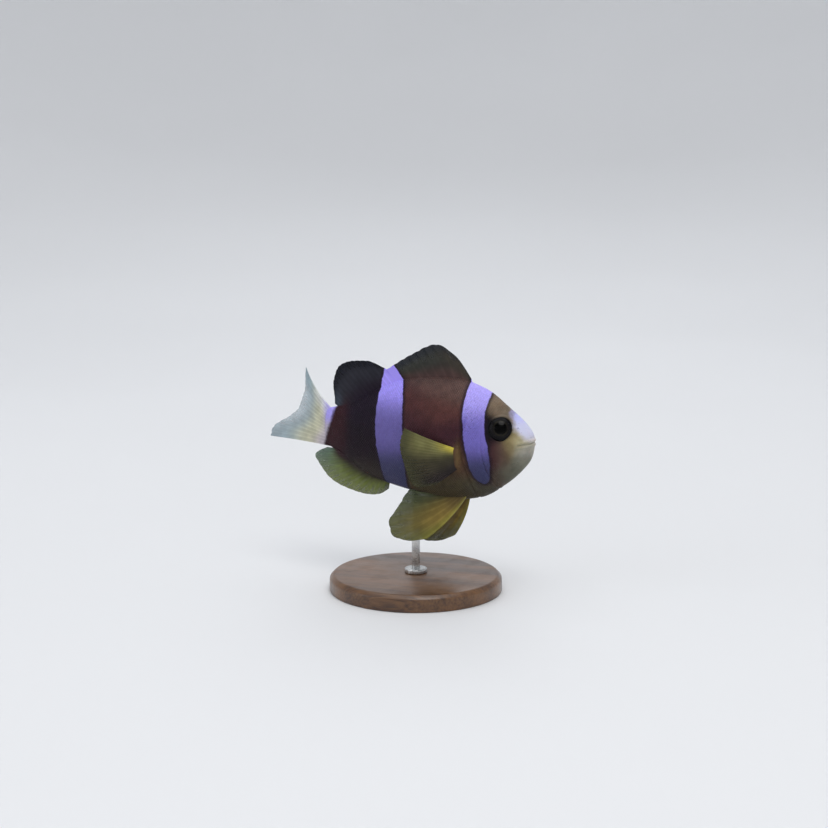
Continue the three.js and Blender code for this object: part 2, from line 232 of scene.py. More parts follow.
def cheek_relief(along, up):
    """The cheek plate stands a little proud of the gill cover, and ends in a shallow groove."""
    share = up / BODY
    past = along - CHEEK_EDGE(share) * BODY
    on = ease(share, -0.27, -0.2) * (1 - ease(share, 0.03, 0.09))
    return on * (CHEEK_RISE * hill(past + 0.55, 0.5) - CHEEK_GROOVE * hill(past - 0.05, 0.22))


def gill_distance(along, up):
    """How far a point lies behind the gill cover's rear edge."""
    return along - GILL_EDGE(up / BODY) * BODY


def gill_relief(along, up):
    """The gill cover's free edge, and the groove behind it."""
    past = gill_distance(along, up)
    share = up / BODY
    on = ease(share, -0.285, -0.2) * (1 - ease(share, 0.07, 0.12))
    flap = GILL_RISE * np.where(past < 0, hill(past, 1.6), hill(past, 0.12))
    groove = GILL_GROOVE * np.where(past < 0.22, hill(past - 0.22, 0.14), hill(past - 0.22, 0.5))
    return on * (flap - groove)


def fin_base_relief(along, up):
    on = ease(up, -9.2, -7.6) * (1 - ease(up, -3.4, -2.0))
    return on * FIN_BASE_RISE * hill(along - FIN_BASE[0], 1.0)


def relief(along, up):
    """How high the skin stands above the plain form of the body."""
    head = (mouth_relief, jaw_fold_relief, eye_relief, nostril_relief, cheek_relief)
    return sum(maker(along, up) for maker in (*head, gill_relief, fin_base_relief))


SNOUT_CROWDING = 1.7  # more than 1 brings the skin's rows closer together towards the snout
STEP = 1e-4  # the step in share and angle over which the skin's slope is taken


def skin_point(share, angle, lift=0.0):
    """A point of the skin, (along, side, up). `share` runs 0 to 1 from snout to tail, and `lift`
    is the height above the skin."""

    def flesh(s, a):
        return section(np.clip(s, 0, 1) ** SNOUT_CROWDING * BODY * (1 + TAIL_CAP), a)

    share, angle = np.broadcast_arrays(share, angle)
    point = flesh(share, angle)
    inner = np.clip(share, 0.002, 0.998)
    back = flesh(inner + STEP, angle) - flesh(inner - STEP, angle)
    round_ = flesh(inner, angle + STEP) - flesh(inner, angle - STEP)
    normal = unit(np.cross(round_, back))
    normal[share <= 1e-6] = (-1, 0, 0)
    normal[share >= 1 - 1e-6] = (1, 0, 0)
    height = relief(point[..., 0], point[..., 2]) - COAT + lift
    return point + normal * height[..., None]


def share_of(along):
    return np.clip(along / (BODY * (1 + TAIL_CAP)), 0, 1) ** (1 / SNOUT_CROWDING)


# ---------------- markings


def paint(code):
    """A colour given as it looks, such as "8c7650", in linear light."""
    value = np.array([int(code[i : i + 2], 16) for i in (0, 2, 4)]) / 255
    return np.where(value <= 0.04045, value / 12.92, ((value + 0.055) / 1.055) ** 2.4)


def opaque(code):
    return (*paint(code), 1.0)


def blended(areas, x, y):
    """Each area is (colour, x, y, wide, tall), and they run softly into one another."""
    total = 0
    weight = 0
    for colour, at_x, at_y, wide, tall in areas:
        here = np.exp(-(((x - at_x) / wide) ** 2) - ((y - at_y) / tall) ** 2) + 1e-12
        total = total + here[..., None] * paint(colour)
        weight = weight + here[..., None]
    return total / weight


# Ground colours: where along and up, and how far each reaches, in shares of BODY.
GROUND = (
    ("a19f96", 0.03, -0.03, 0.035, 0.04),  # lips
    ("a99f79", 0.06, 0.005, 0.035, 0.035),  # cream behind the lips
    ("80704c", 0.1, 0.0, 0.022, 0.06),  # the golden strip ahead of the eye
    ("523f37", 0.13, -0.06, 0.03, 0.05),
    ("706454", 0.122, 0.135, 0.025, 0.025),  # brow
    ("7b6957", 0.165, 0.165, 0.035, 0.035),
    ("757466", 0.05, -0.09, 0.04, 0.04),  # chin
    ("57564a", 0.1, -0.145, 0.045, 0.04),
    ("45282b", 0.18, -0.08, 0.03, 0.06),  # cheek
    ("4e4239", 0.17, -0.17, 0.04, 0.04),
    ("07050e", 0.203, 0.042, 0.029, 0.055),  # the dark patch behind the eye
    ("1d0f19", 0.205, -0.02, 0.02, 0.03),
    ("4e4b40", 0.22, -0.24, 0.06, 0.04),  # throat
    ("5c4540", 0.37, 0.21, 0.1, 0.05),  # nape
    ("483634", 0.42, 0.28, 0.12, 0.03),
    ("3d2029", 0.36, 0.02, 0.08, 0.06),  # flank
    ("583531", 0.44, 0.12, 0.1, 0.06),
    ("3f2229", 0.52, 0.03, 0.08, 0.1),
    ("503a2e", 0.38, -0.1, 0.1, 0.06),
    ("48402f", 0.42, -0.24, 0.16, 0.07),  # belly
    ("170c1c", 0.78, 0.1, 0.09, 0.14),  # rear of the body
    ("1a0d17", 0.8, -0.06, 0.1, 0.08),
    ("2e2622", 0.79, -0.19, 0.08, 0.05),
    ("34181e", 0.94, 0.0, 0.04, 0.1),
    ("6e5a34", 0.33, -0.07, 0.012, 0.05),  # the pectoral fin's base
)
# The pale bars' colours with painted shade: pale lavender high on the body, growing darker and greyer
# towards the belly as if lit from above.
BAR_COLOURS_AND_SHADE = (
    ("b8a9fb", 0.26, 0.22, 0.15, 0.1),
    ("766bbc", 0.26, 0.03, 0.15, 0.09),
    ("3e3f60", 0.24, -0.15, 0.15, 0.08),
    ("a798f8", 0.66, 0.24, 0.15, 0.1),
    ("6a60a0", 0.66, 0.03, 0.15, 0.1),
    ("3c3c5a", 0.63, -0.2, 0.15, 0.1),
)
SNOUT_COLOURS = (
    ("bbbef6", 0.06, 0.13, 0.04, 0.04),
    ("cfd0e8", 0.05, 0.05, 0.04, 0.04),
    ("c2baaa", 0.03, -0.02, 0.04, 0.03),
)
TAIL_COLOURS = (
    ("aca0ee", 1.0, 0.06, 0.08, 0.04),
    ("b9aebc", 1.02, -0.03, 0.08, 0.05),
)

# Edges of the pale parts, as (up, along) knots in shares of BODY; a bar has a front and a rear one.
HEAD_BAR = (
    [(-0.19, 0.187), (-0.113, 0.184), (-0.039, 0.193), (0.034, 0.209), (0.12, 0.215), (0.2, 0.203)],
    [(-0.19, 0.24), (-0.138, 0.272), (-0.054, 0.293), (0.029, 0.308), (0.12, 0.316), (0.246, 0.304)],
)
MID_BAR = (
    [(-0.227, 0.582), (-0.12, 0.585), (-0.03, 0.588), (0.06, 0.594)]
    + [(0.152, 0.6), (0.222, 0.612), (0.27, 0.645), (0.31, 0.676)],
    [(-0.26, 0.684), (-0.233, 0.696), (-0.14, 0.711), (-0.046, 0.728)]
    + [(0.05, 0.733), (0.2, 0.731), (0.32, 0.718)],
)
BARS = [[through(edge) for edge in bar] for bar in (HEAD_BAR, MID_BAR)]
SNOUT_EDGE = through(
    [(-0.012, 0.0), (0.0, 0.02), (0.018, 0.044), (0.04, 0.068), (0.07, 0.09), (0.13, 0.106)]
)
TAIL_EDGE = through([(-0.085, 1.026), (-0.021, 1.001), (0.039, 0.979), (0.091, 0.965)])


def bar_depth(along, up):
    """How far inside a pale bar a point lies, in millimetres, and negative outside."""
    x, z = along / BODY, up / BODY
    head, middle = (np.minimum(x - front(z), rear(z) - x) for front, rear in BARS)
    head = (1 - ease(-z, 0.17, 0.215)) * (head + 0.015) - 0.015
    return np.maximum(head, middle) * BODY


def markings(along, up):
    """The markings at points of the skin, a scale or a fin, as named fields."""
    x, z = along / BODY, up / BODY
    eye_shade = 1 - 0.75 * hill(eye_distance(along, up) - EYE_OPENING - 0.05, 0.4)
    rear = (x > 0.5)[..., None]
    return {
        "ground": blended(GROUND, x, z) * eye_shade[..., None],
        "bar_colour_and_shade": blended(BAR_COLOURS_AND_SHADE, x, z),
        "pale_colour": np.where(rear, blended(TAIL_COLOURS, x, z), blended(SNOUT_COLOURS, x, z)),
        "bar": bar_depth(along, up),
        "snout": (SNOUT_EDGE(z) - x) * BODY,
        "tail": (x - TAIL_EDGE(z)) * BODY,
        "speckle": ease(x, 0.22, 0.27) * (x < 0.4) * hill(z - 0.095, 0.06),
    }


# ---------------- making meshes


def points_of(mesh):
    points = np.empty(len(mesh.vertices) * 3)
    mesh.vertices.foreach_get("co", points)
    return points.reshape(-1, 3)


def move_points(mesh, points):
    mesh.vertices.foreach_set("co", np.ascontiguousarray(points, np.float32).ravel())


def add_fields(mesh, fields):
    for name, values in fields.items():
        colour = values.ndim == 2
        if colour:
            values = np.hstack([values, np.ones((len(values), 1))])
        layer = mesh.attributes.new(name, "FLOAT_COLOR" if colour else "FLOAT", "POINT")
        layer.data.foreach_set("color" if colour else "value", values.astype(np.float32).ravel())


def flat_grid(columns, rows):
    """A grid over the unit square."""
    bm = bmesh.new()
    bmesh.ops.create_grid(bm, x_segments=columns, y_segments=rows, size=0.5)
    bmesh.ops.translate(bm, vec=(0.5, 0.5, 0), verts=bm.verts)
    return bm


def to_mesh(bm, name):
    mesh = bpy.data.meshes.new(name)
    bm.to_mesh(mesh)
    bm.free()
    return mesh


def closed(mesh):
    """Merges the mesh's seams and poles, and turns its faces outwards."""
    bm = bmesh.new()
    bm.from_mesh(mesh)
    bmesh.ops.remove_doubles(bm, verts=bm.verts, dist=5e-7)
    bmesh.ops.recalc_face_normals(bm, faces=bm.faces)
    bm.to_mesh(mesh)
    bm.free()


def add_object(data):
    item = bpy.data.objects.new(data.name, data)
    bpy.context.scene.collection.objects.link(item)
    return item


def add_mesh(mesh, material):
    mesh.materials.append(material)
    mesh.polygons.foreach_set("use_smooth", np.full(len(mesh.polygons), True))
    mesh.update()
    return add_object(mesh)


def show(mesh, material, nodes):
    """Adds a finished piece, which stands for these nodes of the solid model."""
    piece = add_mesh(mesh, material)
    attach(piece, "root")
    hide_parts(*nodes)


# ---------------- wiring materials


class Wiring:
    """A node tree that is being wired."""

    def __init__(self, tree):
        self.tree = tree
        tree.nodes.clear()

    def add(self, kind, inputs=None, **settings):
        """Adds a node. `inputs` go by socket name or number, each a socket or a plain value."""
        node = self.tree.nodes.new("ShaderNode" + kind)
        for name, value in settings.items():
            setattr(node, name, value)
        for name, value in (inputs or {}).items():
            if isinstance(value, bpy.types.NodeSocket):
                self.tree.links.new(value, node.inputs[name])
            else:
                node.inputs[name].default_value = value
        return node

    def field(self, name, colour=False):
        node = self.add("Attribute", attribute_name=name)
        return node.outputs["Color" if colour else "Fac"]

    def place(self):
        return self.add("TexCoord").outputs["Object"]

    def noise(self, size, detail=2.0, at=None):
        """A noise whose grains are about `size` millimetres across."""
        inputs = {"Vector": at or self.place(), "Scale": 1 / (size * MM), "Detail": detail}
        return self.add("TexNoise", inputs).outputs["Fac"]

    def cells(self, size, at=None):
        """How far a place lies from the nearest of points strewn about `size` millimetres apart."""
        inputs = {"Vector": at or self.place(), "Scale": 1 / (size * MM)}
        return self.add("TexVoronoi", inputs).outputs["Distance"]

    def math(self, operation, a, b=0.0, c=0.0):
        return self.add("Math", {0: a, 1: b, 2: c}, operation=operation).outputs[0]

    def times(self, a, b):
        return self.math("MULTIPLY", a, b)

    def spread(self, value, low, high, to_low=0.0, to_high=1.0):
        """A smooth step from one value to another."""
        inputs = {"Value": value, 1: low, 2: high, 3: to_low, 4: to_high}
        return self.add("MapRange", inputs, interpolation_type="SMOOTHSTEP").outputs[0]

    def mix(self, share, a, b, blend="MIX"):
        inputs = {0: share, 6: a, 7: b}
        return self.add("Mix", inputs, data_type="RGBA", blend_type=blend).outputs[2]

    def bump(self, height, depth, strength=1.0):
        """A bump `depth` millimetres high."""
        inputs = {"Height": height, "Distance": depth * MM, "Strength": strength}
        return self.add("Bump", inputs).outputs["Normal"]

    def group(self, tree, inputs):
        return self.add("Group", inputs, node_tree=tree).outputs

    def finish(self, inputs):
        shader = self.add("BsdfPrincipled", inputs)
        self.add("OutputMaterial", {"Surface": shader.outputs[0]})


def new_material(name):
    material = bpy.data.materials.new(name)
    material.use_nodes = True
    return material, Wiring(material.node_tree)


def new_group(name, inputs, outputs):
    """A shader node group. Inputs and outputs are (name, kind) pairs."""
    tree = bpy.data.node_groups.new(name, "ShaderNodeTree")
    for in_out, sockets in (("INPUT", inputs), ("OUTPUT", outputs)):
        for socket, kind in sockets:
            tree.interface.new_socket(socket, in_out=in_out, socket_type="NodeSocket" + kind)
    wiring = Wiring(tree)
    start = tree.nodes.new("NodeGroupInput").outputs
    end = tree.nodes.new("NodeGroupOutput").inputs
    return tree, wiring, start, end


BLACK = (0.0, 0.0, 0.0, 1.0)
DARK_EDGE = opaque("1d1220")
DOT_SPACING = 0.42  # the dark flecks on the bar behind the head
PORE_SPACING = 1.1
MARKING_FIELDS = [(name, "Color") for name in ("ground", "bar_colour_and_shade", "pale_colour")]
MARKING_FIELDS += [(name, "Float") for name in ("bar", "snout", "tail", "speckle")]


def markings_group():
    """The fish's colours: ground, pale bars with a thin dark edge, pale snout and pale tail."""
    outputs = [("Colour", "Color"), ("Pale", "Float")]
    tree, w, start, end = new_group("clownfish_markings", MARKING_FIELDS, outputs)

    # The edges waver a little: `bar`, `snout` and `tail` are in millimetres.
    wobble = w.math("SUBTRACT", w.noise(1.4, 3.0), 0.5)
    bar = w.math("MULTIPLY_ADD", wobble, 0.7, start["bar"])
    snout = w.math("MULTIPLY_ADD", wobble, 2.4, start["snout"])
    tail = w.math("MULTIPLY_ADD", wobble, 1.4, start["tail"])
    on_bar = w.spread(bar, -0.12, 0.22)
    on_snout = w.spread(snout, -1.3, 1.6)
    on_tail = w.spread(tail, -0.7, 1.0)

    mottle = w.spread(w.noise(2.6, 4.0), 0.3, 0.7, 0.86, 1.13)
    ground = w.mix(1.0, start["ground"], mottle, "MULTIPLY")
    dark = w.times(w.spread(bar, -1.2, -0.1), 0.8)
    ground = w.mix(dark, ground, DARK_EDGE)
    colour = w.mix(on_snout, ground, start["pale_colour"])
    # The bars' colour carries painted shade, darker towards the belly.
    colour = w.mix(on_bar, colour, start["bar_colour_and_shade"])
    colour = w.mix(on_tail, colour, start["pale_colour"])

    dots = w.cells(DOT_SPACING)
    grains = w.times(w.spread(dots, 0.2, 0.4, 1.0, 0.0), w.spread(w.noise(1.2), 0.4, 0.56))
    flecks = w.times(w.times(grains, on_bar), start["speckle"])
    colour = w.mix(w.times(flecks, 0.75), colour, DARK_EDGE)
    w.tree.links.new(colour, end["Colour"])
    w.tree.links.new(w.math("MAXIMUM", w.math("MAXIMUM", on_bar, on_snout), on_tail), end["Pale"])
    return tree


def skin_grain_group():
    """A fine grain for living skin: its height, its small pores, and how its gloss varies."""
    outputs = [(name, "Float") for name in ("Height", "Pores", "Gloss")]
    tree, w, start, end = new_group("skin_grain", [("Size", "Float")], outputs)
    scaled = w.add("VectorMath", {0: w.place(), "Scale": start["Size"]}, operation="SCALE").outputs[0]
    broad = w.noise(1.3, 2.0, scaled)
    grain = w.math("MULTIPLY_ADD", broad, 1.5, w.noise(0.16, 3.0, scaled))
    pores = w.spread(w.cells(PORE_SPACING, scaled), 0.08, 0.17, 1.0, 0.0)
    w.tree.links.new(w.math("MULTIPLY_ADD", pores, -1.2, grain), end["Height"])
    w.tree.links.new(pores, end["Pores"])
    w.tree.links.new(broad, end["Gloss"])
    return tree


MARKINGS = markings_group()
SKIN_GRAIN = skin_grain_group()


def marked_colour(w):
    inputs = {name: w.field(name, colour=kind == "Color") for name, kind in MARKING_FIELDS}
    return w.group(MARKINGS, inputs)


def fish_material(name, scaly):
    material, w = new_material(name)
    marks = marked_colour(w)
    grain = w.group(SKIN_GRAIN, {"Size": 0.8 if scaly else 1.0})
    colour = marks["Colour"]
    if scaly:
        shade = w.times(w.spread(w.field("rim"), 0.5, 1.0, 1.04, 0.82), w.field("tone"))
        colour = w.mix(1.0, colour, shade, "MULTIPLY")
    else:
        colour = w.mix(w.times(grain["Pores"], 0.25), colour, DARK_EDGE)
    w.finish({
        "Base Color": colour,
        "Roughness": w.spread(grain["Gloss"], 0.35, 0.65, 0.3, 0.46),
        "Specular IOR Level": 0.1,
        "Coat Weight": 0.06,
        "Coat Roughness": 0.2,
        "Subsurface Weight": 0.08,
        "Subsurface Scale": 0.0012,
        "Normal": w.bump(grain["Height"], 0.012 if scaly else 0.045),
    })
    return material


SKIN = fish_material("skin", False)
SCALES = fish_material("scales", True)


# ---------------- skin

SKIN_ROWS = 240
SKIN_COLUMNS = 352
HEAD_ROWS = through([(0, 0), (0.62, 0.55), (1, 1)])  # gives the head more than its share of rows


def make_skin():
    mesh = to_mesh(flat_grid(SKIN_ROWS, SKIN_COLUMNS), "skin")
    flat = points_of(mesh)
    share = HEAD_ROWS(flat[:, 0])
    angle = (flat[:, 1] - 0.25) * math.tau
    point = skin_point(share, angle)
    move_points(mesh, place(*point.T))
    add_fields(mesh, markings(point[:, 0], point[:, 2]))
    closed(mesh)
    nodes = ("head", "lower_jaw", "gill_cover_left", "gill_cover_right", "trunk", "tail_stalk")
    show(mesh, SKIN, nodes)


# ---------------- scales

# The scales' front edge as (up, along) knots, their pitch in millimetres as (along, pitch) knots
# and the lateral line as (along, up) knots. Places are in shares of BODY.
SCALE_FRONT = through(
    [(-0.3, 0.17), (-0.2, 0.14), (-0.1, 0.145), (-0.04, 0.19)]
    + [(0.04, 0.225), (0.1, 0.2), (0.135, 0.125), (0.2, 0.11)]
)
SCALE_PITCH = through(
    [(0.1, 0.75), (0.2, 0.85), (0.35, 1.08), (0.6, 1.12), (0.8, 0.98), (1.0, 0.78), (1.04, 0.7)]
)
LATERAL_LINE = through([(0.28, 0.165), (0.45, 0.185), (0.62, 0.165), (0.76, 0.11), (0.8, 0.085)])
FIRST_SCALES = 0.105 * BODY
LAST_SCALES = 1.02 * BODY
COLUMN_SPACING = 0.34  # in shares of the pitch

# Half the length and width of a scale and of a lateral line tube, in shares of the pitch.
SCALE_SHAPE = (0.62, 0.6)
TUBE_SHAPE = (0.34, 0.1)
TUBE_RISE = 0.06  # a tube starts this far above the skin
SCALE_SIDES = 12


def scale_roots(rng):
    """Where the scales of the left side are rooted: along, angle and pitch. They stand in columns
    a third of a pitch apart, every other column half a scale up."""
    roots = []
    along = FIRST_SCALES
    lift = 0.0
    while along < LAST_SCALES:
        pitch = float(SCALE_PITCH(along / BODY))
        angle = np.linspace(-math.pi / 2, math.pi / 2, 400)
        _, side, up = section(np.full(400, along), angle).T
        arc = np.concatenate([[0], np.cumsum(np.hypot(np.diff(side), np.diff(up)))])
        arc -= np.interp(0, angle, arc)
        first = math.ceil(arc[0] / pitch - lift)
        last = math.floor(arc[-1] / pitch - lift)
        stops = (np.arange(first, last + 1) + lift + rng.uniform(-0.03, 0.03, last - first + 1)) * pitch
        here = np.interp(stops, arc, angle)
        jitter = rng.uniform(-0.02, 0.02, len(here)) * pitch
        roots.append(np.stack([along + jitter, here, np.full(len(here), pitch)], -1))
        along += COLUMN_SPACING * pitch
        lift = 0.5 - lift
    return np.concatenate(roots)


def scaly(along, up):
    """True where the skin carries scales."""
    share = up / BODY
    past = gill_distance(along, up)
    beside_gill = (share > -0.3) & (share < 0.1)
    groove = beside_gill & (past > -0.45) & (past < 0.7)
    beside_cheek = (share > -0.24) & (share < 0.06)
    cheek = beside_cheek & (np.abs(along - CHEEK_EDGE(share) * BODY) < 0.32)
    eye = eye_distance(along, up) < EYE_OPENING + 1.15
    fin_base = np.hypot((along - FIN_BASE[0] - 0.3) / 1.3, (up - FIN_BASE[1]) / 3.6) < 1
    front = along > SCALE_FRONT(share) * BODY
    return front & ~groove & ~cheek & ~eye & ~fin_base


def scale_template():
    """One scale, a thin lens of unit radius: its points and triangles."""
    bm = bmesh.new()
    bmesh.ops.create_cone(bm, cap_ends=True, segments=SCALE_SIDES, radius1=1, radius2=0.8, depth=1)
    top = max(bm.faces, key=lambda face: face.calc_center_median().z)
    bmesh.ops.poke(bm, faces=[top], offset=0.25)
    bmesh.ops.triangulate(bm, faces=bm.faces)
    bm.verts.index_update()
    points = np.array([vert.co for vert in bm.verts])
    faces = np.array([[vert.index for vert in face.verts] for face in bm.faces])
    bm.free()
    return points, faces


SCALE_POINTS, SCALE_FACES = scale_template()


def joined(name, points):
    """One mesh of many scales: points is (scales, points, 3)."""
    starts = np.arange(len(points)) * len(SCALE_POINTS)
    mesh = bpy.data.meshes.new(name)
    mesh.from_pydata(points.reshape(-1, 3), [], (SCALE_FACES + starts[:, None, None]).reshape(-1, 3))
    return mesh


PATCH = 0.0015  # half the width of a scale's patch in the map that its colour is kept in
MAP_MARGIN = 0.02
TURN_STEP = 0.01  # the step in angle over which the skin's girth is taken


def add_patches(mesh, share, angle):
    """Each scale's patch lies at its root's place on an unwrap of its side of the skin."""
    centre = MAP_MARGIN + (1 - 2 * MAP_MARGIN) * np.stack([share, angle / math.pi + 0.5], -1)
    patches = (centre[:, None] + PATCH * SCALE_POINTS[None, :, :2]).reshape(-1, 2)
    layer = mesh.uv_layers.new(name="OFBake")
    corners = np.empty(len(mesh.loops), int)
    mesh.loops.foreach_get("vertex_index", corners)
    layer.data.foreach_set("uv", patches[corners].astype(np.float32).ravel())


def lay(point, angle, size, turn, shape, front, rear):
    """Copies of the scale template laid on the skin at these roots. `front` and `rear` are the
    heights of each copy's front and rear edges above the skin."""
    x, y, z = SCALE_POINTS.T
    length, width = shape
    # The arc that a small turn of the angle covers at each root.
    a, b = (section(point[:, 0], angle + step)[:, 1:] for step in (-TURN_STEP, TURN_STEP))
    per_angle = np.maximum(np.linalg.norm(b - a, axis=1) / (2 * TURN_STEP), 0.4)[:, None]
    back = size[:, None] * length * (x + 0.1 * (1 - y * y))
    out = size[:, None] * width * y * (1 - 0.1 * x)
    c, s = np.cos(turn)[:, None], np.sin(turn)[:, None]
    along = point[:, :1] + back * c - out * s
    lift = front + (rear - front)[:, None] * (x + 1) / 2 + z * SCALE_THICK
    return skin_point(share_of(along), angle[:, None] + (out * c + back * s) / per_angle, lift)


def make_scales(name, hand, on_flank, nodes, rng):
    """One side's scales behind the gill cover's edge or before it. `hand` is 1 on the left."""
    roots = scale_roots(rng)
    point = skin_point(share_of(roots[:, 0]), roots[:, 1])
    past_gill = gill_distance(point[:, 0], point[:, 2]) >= 0
    keep = scaly(point[:, 0], point[:, 2]) & (past_gill == on_flank)
    point, angle, pitch = point[keep], roots[keep, 1], roots[keep, 2]
    small = 0.5 + 0.5 * ease(point[:, 0] - SCALE_FRONT(point[:, 2] / BODY) * BODY, 0, 3.5)
    size = pitch * small * rng.uniform(0.95, 1.05, len(pitch))
    turn = rng.uniform(-0.05, 0.05, len(pitch))
    rise = SCALE_RISE * rng.uniform(0.85, 1.1, len(pitch)) * small
    tone = rng.uniform(0.93, 1.07, len(pitch))
    placed = lay(point, angle, size, turn, SCALE_SHAPE, -SCALE_SINK, rise)

    # A small tube stands on each scale of the lateral line.
    x, z = point[:, 0] / BODY, point[:, 2] / BODY
    pored = (np.abs(z - LATERAL_LINE(x)) * BODY < 0.28 * pitch) & (x > 0.3) & (x < 0.79)
    roots_with_tubes = (values[pored] for values in (point, angle, size, turn))
    tubes = lay(*roots_with_tubes, TUBE_SHAPE, TUBE_RISE, rise[pored] + 0.02)
    placed = np.concatenate([placed, tubes])
    tone = np.concatenate([tone, 0.9 * tone[pored]])
    point = np.concatenate([point, point[pored]])
    angle = np.concatenate([angle, angle[pored]])

    flat = placed.reshape(-1, 3)
    mesh = joined(name, place(*(flat * (1, hand, 1)).T).reshape(placed.shape))
    fields = markings(flat[:, 0], flat[:, 2])
    rim = np.hypot(np.maximum(SCALE_POINTS[:, 0], 0), 0.9 * SCALE_POINTS[:, 1])
    fields["rim"] = np.tile(rim, len(placed))
    fields["tone"] = np.repeat(tone, len(SCALE_POINTS))
    add_fields(mesh, fields)
    add_patches(mesh, share_of(point[:, 0]), angle)
    if hand < 0:
        mesh.flip_normals()
    show(mesh, SCALES, nodes)


# ---------------- fins

SUNK = 0.035 * BODY  # a fin on the back or belly starts this deep in the flesh


def middle_fin(start, end, edge, rake, reach):
    """A fin on the middle plane. `edge` is 1 on the back and -1 on the belly, `rake` the degrees
    by which a ray leans back and `reach` its length past the body's outline."""

    def surface(across, out):
        along = (start + (end - start) * across) * BODY
        back, belly, _ = outline(along)
        angle = np.radians(rake(across))
        away = (SUNK + reach(across) * BODY) * out - SUNK
        level = back if edge > 0 else belly
        up = edge * (level + away * np.cos(angle))
        return np.stack([along + away * np.sin(angle), 0 * up, up], -1)

    return surface


TAIL_ROOT = 0.05 * BODY  # the tail fin starts this deep in the flesh
TAIL_BASE = 0.0905 * BODY  # half the height of the rays' roots
TAIL_LOW = 0.0065 * BODY  # their middle lies this far below the axis
TAIL_LIFT = math.radians(21.25)  # the middle ray's slope, and the outer rays' slope from it
TAIL_SPREAD = math.radians(16.25)
TAIL_FLARE = 0.003  # how strongly the outer rays curve apart
TAIL_LEAN = 0.016  # how strongly the upper lobe leans to the left and the lower to the right
TAIL_REACH = through([(-1, 0.34), (-0.85, 0.343), (-0.4, 0.255), (0, 0.208), (0.5, 0.206), (1, 0.258)])


def tail_surface(across, out):
    """`across` runs from the lowest ray to the highest."""
    ray = 2 * across - 1
    angle = TAIL_LIFT + ray * TAIL_SPREAD
    away = (TAIL_REACH(ray) * BODY + TAIL_ROOT) * out - TAIL_ROOT
    past = np.maximum(away, 0)
    up = TAIL_BASE * ray - TAIL_LOW + away * np.sin(angle) + TAIL_FLARE * ray * past**2
    return np.stack([BODY + away * np.cos(angle), TAIL_LEAN * past * up, up], -1)


def paired_fin(hand, roots, start, end, bow, reach, splay, cup, sunk):
    """A fin that fans out from a short root, between two points in shares of BODY. `start` and
    `end` are the degrees below straight back of its first and last ray, `bow` how far a ray bends
    on its way, `splay` the degrees by which it stands out, `cup` how strongly it curls back in and
    `sunk` the depth of its root."""
    first, last = np.array(roots)

    def surface(across, out):
        angle = np.radians(start + (end - start) * across + bow * (0.5 - out))
        root = (first + (last - first) * across[..., None]) * BODY
        away = (reach(across) + sunk) * BODY * out - sunk * BODY
        outward = np.radians(splay(across))
        side = root[..., 1] + away * np.sin(outward) - cup * np.maximum(away, 0) ** 2 / BODY
        back = root[..., 0] + away * np.cos(angle) * np.cos(outward)
        up = root[..., 2] - away * np.sin(angle) * np.cos(outward)
        return np.stack([back, hand * side, up], -1)

    return surface


SPINY_DORSAL = middle_fin(
    start=0.3,
    end=0.6655,
    edge=1,
    rake=through([(0, 18), (0.3, 27), (1, 44)]),
    reach=through([(0, 0.012), (0.1, 0.1), (0.28, 0.158), (0.58, 0.122), (0.9, 0.077), (1, 0.068)]),
)
SOFT_DORSAL = middle_fin(
    start=0.664,
    end=0.962,
    edge=1,
    rake=through([(0, 44), (0.4, 46), (1, 58)]),
    reach=through([(0, 0.075), (0.14, 0.142), (0.5, 0.182), (0.7, 0.142), (0.92, 0.046), (1, 0.015)]),
)
ANAL = middle_fin(
    start=0.685,
    end=0.985,
    edge=-1,
    rake=through([(0, 8), (0.3, 47), (0.6, 69), (0.8, 82), (1, 92)]),
    reach=through([(0, 0.026), (0.1, 0.07), (0.3, 0.116), (0.6, 0.166), (0.8, 0.159), (1, 0.03)]),
)


def pectoral(hand):
    return paired_fin(
        hand,
        roots=((0.32, 0.092, -0.045), (0.325, 0.088, -0.125)),
        start=-20,
        end=43,
        bow=6,
        reach=through([(0, 0.28), (0.15, 0.282), (0.5, 0.255), (0.8, 0.235), (1, 0.13)]),
        splay=lambda across: 27,
        cup=0.25,
        sunk=0.05,
    )


def pelvic(hand, turn_down, turn_out):
    """The two hang differently: each turns down and out by degrees of its own."""
    return paired_fin(
        hand,
        roots=((0.3, 0.03, -0.262), (0.365, 0.022, -0.262)),
        start=58 + turn_down,
        end=4 + turn_down,
        bow=14,
        reach=through([(0, 0.272), (0.16, 0.336), (0.33, 0.376), (0.5, 0.356), (0.67, 0.286), (1, 0.205)]),
        splay=through([(0, 21 + turn_out), (1, 9 + turn_out)]),
        cup=0.15,
        sunk=0.045,
    )


# Fin colours: where across and out, and how far each reaches.
SPINY_LOOK = (
    ("33342f", 0.3, 0.45, 0.4, 0.3),
    ("42392f", 0.1, 0.5, 0.15, 0.4),
    ("1c2028", 0.5, 1.0, 0.7, 0.14),
    ("4a302c", 0.4, 0.1, 0.6, 0.22),
)
SOFT_LOOK = (
    ("26262e", 0.4, 0.45, 0.5, 0.35),
    ("070916", 0.4, 0.97, 0.7, 0.14),
    ("1e141c", 0.5, 0.0, 0.6, 0.25),
    ("3c4450", 0.95, 0.9, 0.12, 0.4),
)
ANAL_LOOK = (
    ("667032", 0.35, 0.5, 0.4, 0.35),
    ("656e30", 0.3, 0.95, 0.4, 0.25),
    ("131410", 0.0, 0.85, 0.07, 0.4),
    ("5b7466", 0.95, 0.85, 0.25, 0.4),
    ("443c2a", 0.4, 0.0, 0.6, 0.2),
)
